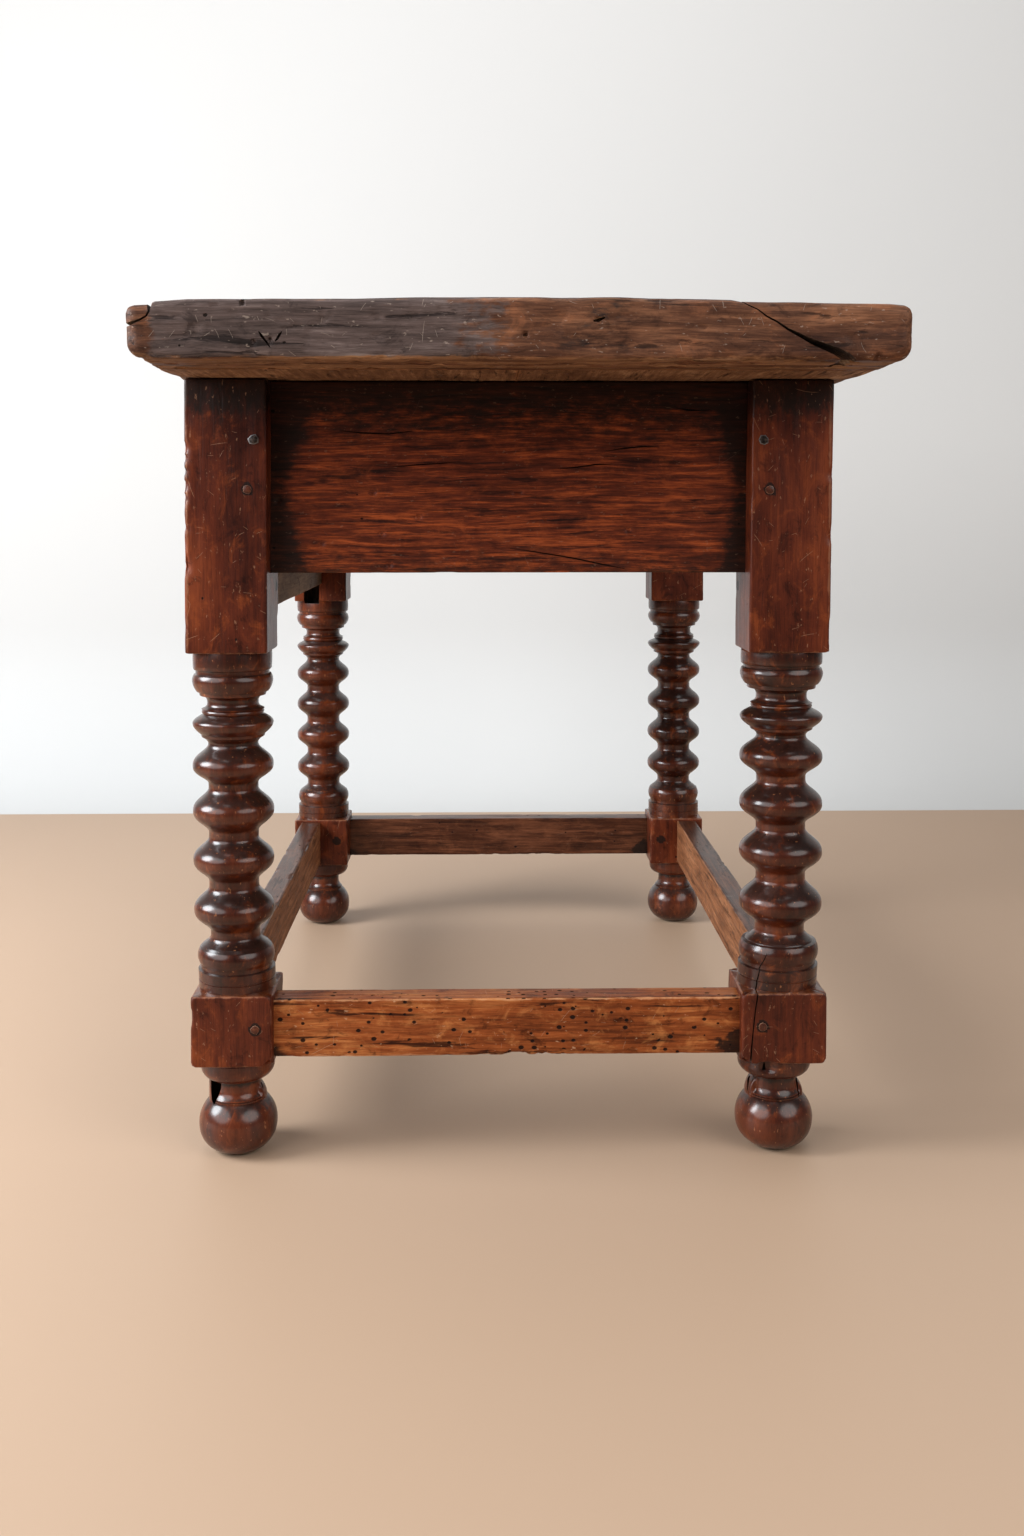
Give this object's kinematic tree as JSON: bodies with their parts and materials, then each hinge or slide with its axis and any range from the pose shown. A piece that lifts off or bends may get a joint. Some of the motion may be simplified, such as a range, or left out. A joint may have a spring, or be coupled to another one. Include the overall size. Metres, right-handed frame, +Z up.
{
  "type": "joined table with drawers",
  "caption": "Old joined wooden table with turned legs, floor stretchers, a heavy overhanging top with cleated ends, and drawers in one long side.",
  "frame": {"origin": "on the floor, under the middle of the top", "axes": "+Z up, +Y along the table's length, +X across it, with the drawers on the -X side"},
  "size_m": [0.641, 1.18, 0.785],
  "materials": {
    "turned_wood": "dark red-brown hardwood, waxed and polished by wear",
    "frame_wood": "red-brown stained hardwood with dark streaks, old wax",
    "stretcher_wood": "worn orange-brown hardwood with worm holes",
    "top_wood": "weathered grey-brown hardwood, scratched, with worn edges",
    "raw_wood": "unfinished aged wood",
    "peg_wood": "whittled hardwood pegs, darkened",
    "forged_iron": "hand-forged, darkened"
  },
  "bodies": {
    "table": {"leg_front_near": "turned_wood", "leg_front_far": "turned_wood", "leg_back_near": "turned_wood", "leg_back_far": "turned_wood", "end_apron_near": "frame_wood", "end_apron_far": "frame_wood", "back_apron": "frame_wood", "drawer_rail_lower": "frame_wood", "drawer_rail_upper": "frame_wood", "drawer_divider": "frame_wood", "runner_near": "raw_wood", "runner_centre": "raw_wood", "runner_far": "raw_wood", "guide_near": "raw_wood", "guide_centre": "raw_wood", "guide_far": "raw_wood", "kicker_near": "raw_wood", "kicker_centre": "raw_wood", "kicker_far": "raw_wood", "end_stretcher_near": "stretcher_wood", "end_stretcher_far": "stretcher_wood", "side_stretcher_front": "stretcher_wood", "side_stretcher_back": "stretcher_wood", "top_board_front": "top_wood", "top_board_back": "top_wood", "end_cleat_near": "top_wood", "end_cleat_far": "top_wood", "apron_pegs": "peg_wood", "rail_pegs": "peg_wood", "stretcher_pegs": "peg_wood", "cleat_pegs": "peg_wood", "top_pegs": "peg_wood", "board_dowels": "peg_wood", "apron_nails": "forged_iron"},
    "drawer_near": {"drawer_near_front": "frame_wood", "drawer_near_side_inner": "raw_wood", "drawer_near_side_outer": "raw_wood", "drawer_near_back": "raw_wood", "drawer_near_bottom": "raw_wood", "drawer_near_knob": "turned_wood"},
    "drawer_far": {"drawer_far_front": "frame_wood", "drawer_far_side_inner": "raw_wood", "drawer_far_side_outer": "raw_wood", "drawer_far_back": "raw_wood", "drawer_far_bottom": "raw_wood", "drawer_far_knob": "turned_wood"}
  },
  "joints": [
    {"name": "drawer_near_slide", "type": "slide", "parent": "table", "child": "drawer_near", "axis": [-1, 0, 0], "range_m": [0, 0.36]},
    {"name": "drawer_far_slide", "type": "slide", "parent": "table", "child": "drawer_far", "axis": [-1, 0, 0], "range_m": [0, 0.36]}
  ]
}
